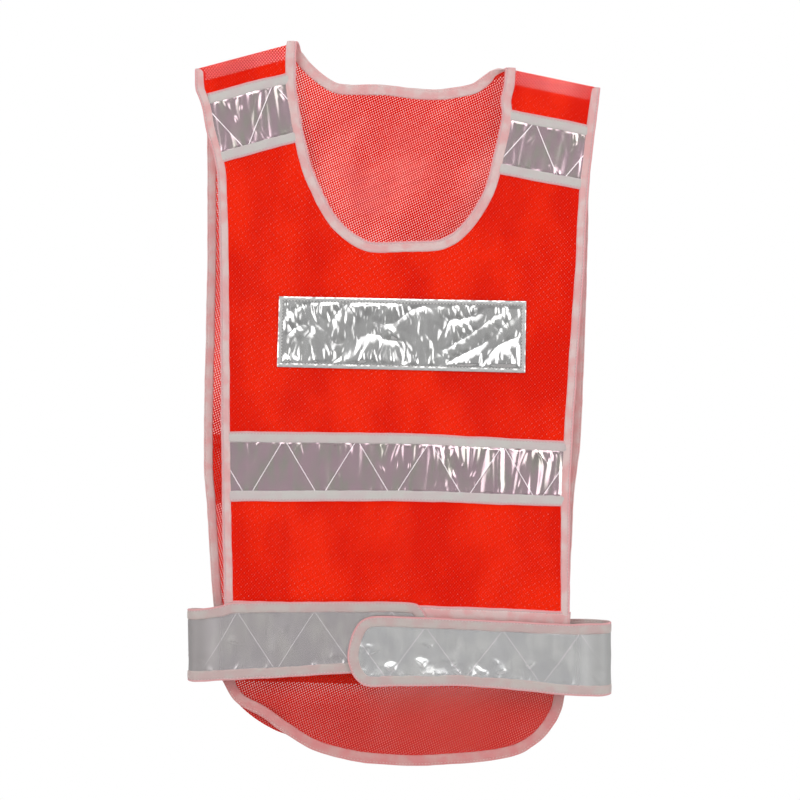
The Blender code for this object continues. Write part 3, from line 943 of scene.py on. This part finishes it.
def panel(side, left_side, hem, right_side, neck):
    """A panel of mesh cloth, from the lower end of the shoulder folds to the hem."""
    key = "front" if side < 0 else "back"
    left, right = cut(*LEFT_CUTS[key]), cut(*RIGHT_CUTS[key])
    edges = [
        (even(smooth([left[0], *left_side]), 5), CLOTH_INSET),
        (even(smooth(hem), 5), CLOTH_INSET),
        (even(smooth([right[-1], *right_side]), 5)[::-1], CLOTH_INSET),
        (right[::-1], 0),
        (even(smooth([left[-1], *neck, right[0]]), 5)[::-1], CLOTH_INSET),
        (left[::-1], 0),
    ]
    outline = panel_outline(edges)
    made = filled_object(f"{key}_mesh", outline, CLOTH_STEP, lambda flat: on_vest(flat, side),
                         mesh_material(key), side > 0)
    settle(made, key, [f"{key}_panel"])
    return made


def yoke(side, cuts, necks):
    """Mesh cloth over one shoulder. necks gives where its neck edge is at each turn, 0 to 180."""
    rows, columns, measured = 25, 18, 5
    points, flat = np.zeros((rows, columns, 3)), np.zeros((rows, columns, 2))
    right = side == "right"
    out = 1 if right else -1
    for i in range(rows):
        turn = 180 * i / (rows - 1)
        arm = np.interp(turn, (0, 90, 180), [cuts[level][right] for level in LEVELS])
        ends = sorted((np.interp(turn, *necks) + out * CLOTH_INSET, arm - out * CLOTH_INSET))
        for j, x in enumerate(np.linspace(*ends, columns)):
            points[i, j] = fold_point(x, math.radians(turn))
        flat[i, :, 0] = points[i, :, 0] - YOKE_SHEAR[0] * out * points[i, :, 1]
        flat[i, :, 1] = points[i, :, 2] - YOKE_SHEAR[1] * points[i, :, 1]
    made = grid_object(f"{side}_yoke_mesh", points, flat, mesh_material("yoke"))
    settle(made, SHOULDER_BLEND, [f"{side}_shoulder_yoke"])


def neck_tape():
    """One tape round the whole neck opening: front scoop, right fold, back neck, left fold."""
    right = over_fold(RIGHT_CUTS["front"][0], RIGHT_CUTS["top"][0], 92.5, 8)[:6]
    left = over_fold(LEFT_CUTS["front"][1], LEFT_CUTS["top"][1], -91, 8)
    back = on_vest(smooth(BACK_NECK), 1)[::-1]
    front = on_vest(smooth(FRONT_NECK), -1)
    path = np.vstack([front, right, back, left[::-1][2:]])
    keep = [path[0]]
    for point in path[1:]:
        if np.linalg.norm(point - keep[-1]) > 1.5:
            keep.append(point)
    closed = smooth(np.vstack([keep, keep[:1]]), 2)
    points = even(closed, 2.6)[:-1]
    normals = vest_normals(points)
    for _ in range(3):
        normals = unit(normals + np.roll(normals, 1, 0) + np.roll(normals, -1, 0))
    points = beside(points, normals, TAPE_W / 2, True)
    pieces = tape("neck_tape", "rim", points, normals, closed=True, seed=3)
    settle_tape(pieces, SHOULDER_BLEND,
                ["front_neck_binding", "back_neck_binding", "left_shoulder_neck_binding",
                 "right_shoulder_neck_binding"])


def side_tape(side, back_edge, front_edge, cuts, seed):
    """One tape from the back hem up the side, over the shoulder and down to the front hem."""
    right = side == "right"
    inwards = -1 if right else 1
    fold = over_fold(*(cuts[level][right] for level in LEVELS), 10)
    back = on_vest(smooth(back_edge), 1)[::-1]
    front = on_vest(smooth(front_edge), -1)
    points = even(np.vstack([back, fold[::-1], front]), 2.8)
    normals = vest_normals(points, 3)
    points = beside(points, normals, -inwards * SIDE_TAPE_W / 2, False)
    if not right:
        points, normals = points[::-1], normals[::-1]
    pieces = tape(f"{side}_side_tape", "rim", points, normals, SIDE_TAPE_W, seed=seed)
    settle_tape(pieces, SHOULDER_BLEND,
                [f"front_{side}_side_binding", f"back_{side}_side_binding",
                 f"{side}_shoulder_arm_binding"])


def hem_tapes():
    front = on_vest(even(smooth(FRONT_HEM), 2.8), -1)
    normals = vest_normals(front)
    front = front + np.array((0, 0, HEM_TAPE_W / 2))
    pieces = tape("front_hem_tape", "rim", front, normals, HEM_TAPE_W, seed=11)
    settle_tape(pieces, "front", ["front_hem_binding"])
    back = on_vest(even(smooth(BACK_HEM), 2.8), 1)
    normals = vest_normals(back)
    back = beside(back, normals, TAPE_W / 2, False)
    middle, reach, roll = ROLL
    rolled = np.exp(-((back[:, 0] - middle) / reach) ** 2)
    back[:, 2] += roll * rolled
    back[:, 1] -= ROLL_DEPTH * rolled
    settle_tape(tape("back_hem_tape", "tail", back, normals, seed=12), "back", ["back_hem_binding"])


# Belt

# Edges of each front run, as (x, z): lower edge, tip and upper edge
LEFT_RUN = (
    ((-187.5, -581.2), (-166, -580), (-110, -577.3), (-45, -573.5), (6, -571.5)),
    ((20, -566), (26, -553), (27, -540), (26, -525), (20, -512.5)),
    ((6, -507.3), (-60, -506.8), (-110, -507), (-154, -507.5), (-167, -511), (-187.5, -513.8)),
)
RIGHT_RUN = (
    ((184.5, -594.5), (151.6, -593), (118.6, -589.6), (60.5, -585), (0, -585), (-28, -585.6)),
    ((-38.7, -580.9), (-45.4, -571.4), (-48.6, -558.9), (-47.2, -547), (-43, -534), (-35, -523.5)),
    ((-20, -519.8), (22, -521), (90, -524), (150, -527), (184.5, -526.5)),
)
BELT_HALF_HEIGHT = 33.25
BELT_PERIOD = 71.5
# Each half: which way is out, place of its fold, depth and tip of its front run, that run's edges,
# heights of its middle at the split and at the fold, first peak of its welds, and its film
BELT_HALVES = {
    "left": {"out": -1, "fold_x": -187.5, "front_y": BELT_UNDER_Y, "tip": 27, "run": LEFT_RUN,
             "back_z": (-551.7, -547.5), "peak": 36.8, "film": "under"},
    "right": {"out": 1, "fold_x": 184.5, "front_y": BELT_OVER_Y, "tip": -50, "run": RIGHT_RUN,
              "back_z": (-554, -558), "peak": 17.8, "film": "over"},
}


def belt_plan(side):
    """Plan of one half of the belt: back run, half circle and front run, with outward normals."""
    out, x, front_y, tip = (BELT_HALVES[side][key] for key in ("out", "fold_x", "front_y", "tip"))
    radius = (BELT_BACK_Y - front_y) / 2
    centre_y = (BELT_BACK_Y + front_y) / 2
    plan, normals = [(out * BELT_SPLIT, BELT_BACK_Y)], [(0, 1)]
    for i in range(25):
        angle = math.pi / 2 - math.pi * i / 24
        plan.append((x + out * radius * math.cos(angle), centre_y + radius * math.sin(angle)))
        normals.append((out * math.cos(angle), math.sin(angle)))
    plan.append((tip, front_y))
    normals.append((0, -1))
    return np.array(plan, float), np.array(normals, float)


def belt_outline(side, start_of_front):
    """Flat outline of one half, as distance from the split and height, lower edge first."""
    half = BELT_HALVES[side]
    fold_x = half["fold_x"]
    lower, tip, upper = [[(start_of_front - (x - fold_x) * half["out"], z) for x, z in part]
                         for part in half["run"]]
    split_z, fold_z = half["back_z"]
    behind = abs(fold_x) - BELT_SPLIT
    below = [(0, split_z - BELT_HALF_HEIGHT), (behind * 0.5, (split_z + fold_z) / 2 - BELT_HALF_HEIGHT),
             (behind, fold_z - BELT_HALF_HEIGHT)]
    above = [(d, z + 2 * BELT_HALF_HEIGHT) for d, z in reversed(below)]
    path = even(smooth([*below, *lower, *tip, *upper, *above]), 3)
    levels = [np.array(sorted([*part, *run])) for part, run in ((below, lower), (above, upper))]
    return path, levels


def belt_half(side, seed):
    """Film and rim tape of one half of the belt, from behind the back panel to its front tip."""
    plan, outward = belt_plan(side)
    along = distances(plan)
    start_of_front = along[-2]
    path, (low_edge, high_edge) = belt_outline(side, start_of_front)
    height = 2 * BELT_HALF_HEIGHT - 2 * TAPE_W
    weld = (start_of_front + BELT_HALVES[side]["peak"], BELT_PERIOD, (BELT_PERIOD / 2 - 3) / height)
    dice = random.Random(seed)
    crushed = (0, 0) if side == "left" else (start_of_front + 60, along[-1] - 8)

    def across(u, z):
        top = np.interp(u, high_edge[:, 0], high_edge[:, 1]) - TAPE_W
        bottom = np.interp(u, low_edge[:, 0], low_edge[:, 1]) + TAPE_W
        return (top - z) / (top - bottom) * height

    def at(u, reach):
        spot = np.column_stack([np.interp(u, along, column) for column in plan.T])
        facing = unit(np.column_stack([np.interp(u, along, column) for column in outward.T]))
        return spot + facing * np.reshape(reach, (-1, 1)), facing

    def place(flat):
        u, z = flat.T
        v = across(u, z)
        _, near = inside(path, flat)
        rise = belt_relief(u, v, weld, dice, along[-1], 0, height, crushed)
        rise *= smoothstep(TAPE_W - 3.5, TAPE_W + 1, near)
        spot, _ = at(u, rise)
        return np.column_stack([spot, z])

    outline = inset(path, [FILM_MARGIN] * (len(path) - 1) + [0])
    film = filled_object(f"belt_{side}_vinyl", outline, BELT_STEP, place,
                         film_material(BELT_HALVES[side]["film"], weld, start_of_front - 10),
                         side == "right")
    layer = film.data.uv_layers[UV_NAME].data
    uv = np.zeros(len(layer) * 2, np.float32)
    layer.foreach_get("uv", uv)
    uv = uv.reshape(-1, 2) / MM
    uv[:, 1] = across(uv[:, 0], uv[:, 1])
    layer.foreach_set("uv", (uv * MM).ravel().astype(np.float32))
    ramp = ("back", f"belt_{side}", (0, 7 * MM, 0), (0, -7 * MM, 0))
    settle(film, ramp, [f"belt_{side}_film", f"belt_{side}_fold_film"])
    rim = inset(path, [TAPE_W / 2] * len(path))
    rim[0, 0] = rim[-1, 0] = 0
    spot, facing = at(rim[:, 0], 0)
    points = np.column_stack([spot, rim[:, 1]])
    normals = np.column_stack([facing, np.zeros(len(facing))])
    if side == "left":
        points, normals = points[::-1], normals[::-1]
    pieces = tape(f"belt_{side}_tape", "belt", points, normals, half=BELT_TAPE_HALF, seed=seed)
    settle_tape(pieces, ramp,
                [f"belt_{side}_binding", f"belt_{side}_fold_upper_binding",
                 f"belt_{side}_fold_lower_binding"])


def belt_back():
    """The stretch of belt that is sewn to the back panel, between the two halves."""
    edges = [np.array([(-BELT_SPLIT, BELT_HALVES["left"]["back_z"][0] + s * BELT_HALF_HEIGHT),
                       (BELT_SPLIT, BELT_HALVES["right"]["back_z"][0] + s * BELT_HALF_HEIGHT)], float)
             for s in (1, -1)]
    flat, u, v, length, height = film_grid(*edges, FILM_MARGIN)
    weld = (length / 2, BELT_PERIOD, (BELT_PERIOD / 2 - 3) / height)
    rise = belt_relief(u, v, weld, random.Random(77), length, 0, height)
    rise *= smoothstep(0, 4, np.minimum(v, height - v))
    points = np.stack([flat[..., 0], BELT_BACK_Y + rise, flat[..., 1]], -1)
    film = grid_object("belt_back_vinyl", points, np.stack([u, v], -1),
                       film_material("over", weld))
    settle(film, "back", ["belt_back_film"])
    for name, edge, shift in (("upper", edges[0], -1), ("lower", edges[1], 1)):
        line = even(edge, 3)
        points = np.column_stack([line[:, 0], np.full(len(line), BELT_BACK_Y),
                                  line[:, 1] + shift * TAPE_W / 2])
        normals = np.tile((0, 1, 0), (len(line), 1)).astype(float)
        if shift < 0:
            points, normals = points[::-1], normals[::-1]
        pieces = tape(f"belt_back_{name}_tape", "belt", points, normals, half=BELT_TAPE_HALF,
                      seed=81 + shift)
        settle_tape(pieces, "back", [f"belt_back_{name}_binding"])


# Half width, rise over the belt, step and thread radius of a tack's zigzag
TACK = (2.2, 1.35, 1.1, 0.34)


def anchor_tacks():
    """Dense zigzag stitching that sews the belt to the back panel at both ends of its middle."""
    reach, lift, step, radius = TACK
    height = 2 * BELT_HALF_HEIGHT - 4
    steps = int(height / step)
    for name, x in (("left", -BELT_SPLIT), ("right", BELT_SPLIT)):
        z = BELT_HALVES[name]["back_z"][0]
        path = np.array([(x + (reach if i % 2 else -reach), BELT_BACK_Y + lift,
                          z - height / 2 + height * i / steps) for i in range(steps + 1)])
        curve = bpy.data.curves.new(f"belt_tack_{name}", "CURVE")
        curve.dimensions = "3D"
        curve.bevel_depth = radius * MM
        curve.bevel_resolution = 2
        curve.use_fill_caps = True
        spline = curve.splines.new("POLY")
        spline.points.add(len(path) - 1)
        for point, spot in zip(spline.points, path):
            point.co = (*(spot * MM), 1)
        curve.materials.append(thread_material())
        tack = add_object(f"belt_tack_{name}", curve)
        settle(tack, "back", [f"belt_anchor_tack_{name}"])


PAD_HALF_HEIGHT = 19
PAD_CORNER = 3
# Each pad's body, depth, the side it faces and the height of its middle
PADS = {"loop": ("belt_left", BELT_UNDER_Y - 0.9, -1, -541.5),
        "hook": ("belt_right", BELT_OVER_Y + 0.9, 1, -553.8)}


def closure_pads():
    """Loop pad on the under run and hook pad inside the over run, with rounded corners."""
    for name, (body, y, side, centre_z) in PADS.items():
        low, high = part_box(f"belt_{name}_pad")
        across = (high.x - low.x) / 2 / MM - PAD_CORNER
        up = PAD_HALF_HEIGHT - PAD_CORNER
        centre_x = (high.x + low.x) / 2 / MM
        outline = []
        for sign_x, sign_z, start in ((1, 1, 0), (-1, 1, 90), (-1, -1, 180), (1, -1, 270)):
            for step in range(5):
                angle = math.radians(start + step * 22.5)
                outline.append((centre_x + sign_x * across + PAD_CORNER * math.cos(angle),
                                centre_z + sign_z * up + PAD_CORNER * math.sin(angle)))

        def place(flat, y=y, side=side):
            _, near = inside(np.array(outline), flat)
            fuzz = np.array([noise.noise(Vector((x * 0.9, z * 0.9, y))) for x, z in flat])
            rise = smoothstep(0, 1.2, near) * 0.45 + 0.12 * fuzz
            return np.column_stack([flat[:, 0], y + side * rise, flat[:, 1]])

        pad = filled_object(f"closure_{name}_pad", even([*outline, outline[0]], 1.6)[:-1], 1.5,
                            place, pad_material(), side > 0)
        settle(pad, body, [f"belt_{name}_pad"])


# Chest patch seam

def chest_seam():
    """Thread round the chest patch, a little inside its edge."""
    top, bottom = CHEST
    loop = inset(np.array([bottom[0], bottom[1], top[1], top[0]], float), [SEAM_INSET] * 4)
    path = np.vstack([even([a, b], 1.6)[:-1] for a, b in zip(loop, np.roll(loop, -1, 0))])
    points = np.array([(x, depth(x, z, -1) - CHEST_SEAM_LIFT, z) for x, z in path])
    normals = vest_normals(points)
    tangents, sides, normals = path_frames(points, normals, True)
    made = stitch_row("chest_patch_stitches", points, tangents, sides, normals,
                      np.zeros(len(points)), distances(points), 5)
    settle(made, "front")


# Studio

def soft_light(name, place, target, size, power):
    light = bpy.data.lights.new(name, "AREA")
    light.shape = "RECTANGLE"
    light.size, light.size_y = size
    light.energy = power
    obj = add_object(name, light)
    obj.location = place
    obj.rotation_euler = (Vector(target) - Vector(place)).to_track_quat("-Z", "Y").to_euler()


PANEL_BLUR = 0.24


def sky_panel(tree, parts, axis, low, high):
    """A soft-edged bright panel of the surroundings between two directions along an axis."""
    return math_node(tree, "MULTIPLY", range_node(tree, parts[axis], low, low + PANEL_BLUR),
                     range_node(tree, parts[axis], high - PANEL_BLUR, high, 1.0, 0.0))


def surroundings():
    """White behind the object, and for reflections a pale room with three bright panels."""
    world = bpy.data.worlds.new("studio")
    world.use_nodes = True
    bpy.context.scene.world = world
    tree = world.node_tree
    background = tree.nodes["Background"]
    coordinates = tree.nodes.new("ShaderNodeTexCoord")
    parts = split(tree, coordinates.outputs["Generated"])
    over = sky_panel(tree, parts, "Z", 0.20, 0.95)
    left = sky_panel(tree, parts, "X", -0.92, -0.28)
    right = sky_panel(tree, parts, "X", 0.30, 0.92)
    level = math_node(tree, "MULTIPLY", sky_panel(tree, parts, "Z", -0.45, 0.50),
                      range_node(tree, parts["Y"], 0.0, 0.25, 1.0, 0.0))
    sides = math_node(tree, "MULTIPLY", math_node(tree, "ADD", left, right), level)
    panels = math_node(tree, "ADD", over, math_node(tree, "MULTIPLY", sides, 0.95))
    base = range_node(tree, parts["Z"], -0.5, -0.05, 0.42, 0.66)
    room = math_node(tree, "MULTIPLY_ADD", panels, 3.0, base)
    rays = tree.nodes.new("ShaderNodeLightPath")
    mirror = mix_value(tree, rays.outputs["Is Glossy Ray"], 0.62, room)
    direct = mix_value(tree, rays.outputs["Is Camera Ray"], mirror, 1.0)
    put(tree, background.inputs["Strength"], direct)
    background.inputs["Color"].default_value = (1, 1, 1, 1)


def studio():
    surroundings()
    soft_light("key_light", (-0.9, -1.7, 1.1), (0, 0, -0.3), (0.9, 0.9), 13)
    soft_light("fill_light", (1.5, -1.5, 0.1), (0, 0, -0.35), (0.9, 1.2), 7)
    soft_light("back_light", (0.3, 1.8, 0.9), (0, 0, -0.3), (1.2, 1.0), 14)
    mesh = bpy.data.meshes.new("floor")
    steps = 96
    ring = [(FLOOR_RADIUS * math.cos(2 * math.pi * i / steps),
             FLOOR_RADIUS * math.sin(2 * math.pi * i / steps), FLOOR_Z) for i in range(steps)]
    mesh.from_pydata(ring, [], [list(range(steps))])
    floor = add_object("floor", mesh)
    mesh.materials.append(new_material("studio_floor", (0.86, 0.86, 0.86), 0.7)[0])
    bpy.context.scene.view_settings.view_transform = "Standard"


def camera():
    lens = bpy.data.cameras.new("camera")
    lens.sensor_width = SENSOR
    lens.lens = SENSOR * CAMERA_DISTANCE / VIEW_WIDTH
    lens.clip_end = 20
    obj = add_object("camera", lens)
    obj.location = (0, -CAMERA_DISTANCE, VIEW_CENTRE_Z)
    obj.rotation_euler = (math.pi / 2, 0, 0)
    bpy.context.scene.camera = obj


def build():
    front = panel(-1, FRONT_LEFT, FRONT_HEM, FRONT_RIGHT, FRONT_NECK)
    back = panel(1, BACK_LEFT, BACK_HEM, BACK_RIGHT, BACK_NECK[1:-3])
    yoke("left", LEFT_CUTS, ((0, 90, 135, 180), (-96.4, -95, -92, -88.5)))
    yoke("right", RIGHT_CUTS, ((0, 90, 116, 137, 180), (96.6, 98, 92, 84, 74.5)))
    neck_tape()
    side_tape("left", BACK_LEFT, FRONT_LEFT, LEFT_CUTS, 1)
    side_tape("right", BACK_RIGHT, FRONT_RIGHT, RIGHT_CUTS, 2)
    hem_tapes()
    rise = (67.8 / 2 - 3) / 50
    band("front_waist", FRONT_WAIST, -1, (52.6, 67.7, rise), 21, (0.35, 1.5))
    band("back_waist", BACK_WAIST, 1, (30, 67.8, rise), 23, (0.9, 0.5))
    band("left_shoulder_band", LEFT_BAND, -1, (62.5, 69, 0.63), 25, (0.95, 1.0))
    band("right_shoulder_band", RIGHT_BAND, -1, (26, 62, 0.6), 27, (0.85, 0.95))
    chest_patch()
    chest_seam()
    belt_back()
    belt_half("left", 31)
    belt_half("right", 33)
    anchor_tacks()
    closure_pads()


build()
studio()
camera()
